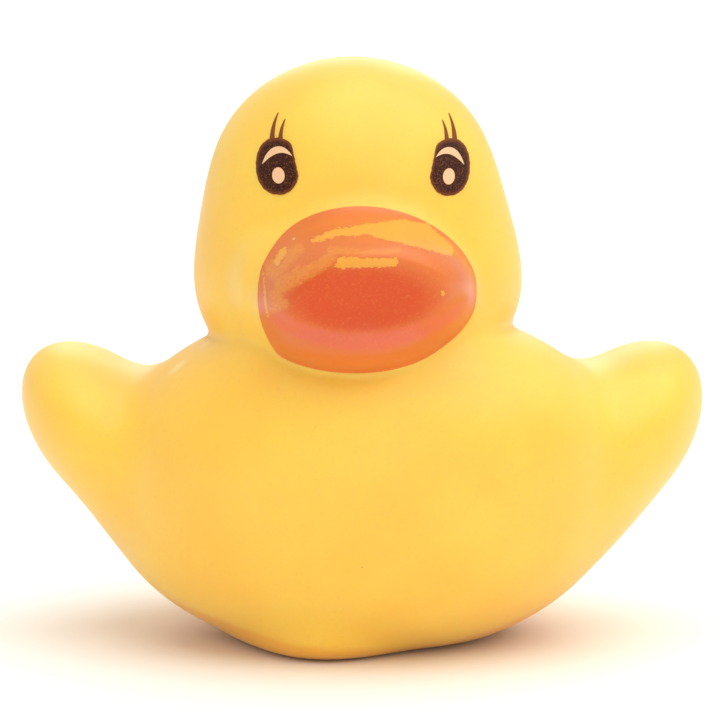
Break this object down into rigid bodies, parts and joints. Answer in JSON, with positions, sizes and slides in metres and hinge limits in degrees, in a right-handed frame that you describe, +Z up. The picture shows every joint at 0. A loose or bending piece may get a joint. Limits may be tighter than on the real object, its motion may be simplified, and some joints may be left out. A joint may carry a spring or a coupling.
{
  "type": "rubber duck",
  "caption": "Small squeaky bath duck: hollow soft vinyl skin with spread wings, worn orange beak, printed eyes and a reed squeaker pressed into its flat base.",
  "frame": {"origin": "on the flat rest face, under the middle of the overall width and length", "axes": "+Z up, the beak points to -Y and the tail to +Y, the wings spread along X"},
  "size_m": [0.0563, 0.0485, 0.0483],
  "materials": {
    "yellow_vinyl": "satin",
    "beak_paint": "satin",
    "eye_ink": "satin",
    "squeaker_plastic": "satin",
    "reed_strip": "satin"
  },
  "bodies": {
    "root": {"duck_shell": "yellow_vinyl", "squeaker_housing": "squeaker_plastic", "squeaker_reed_block": "squeaker_plastic", "squeaker_reed": "reed_strip"}
  },
  "joints": []
}
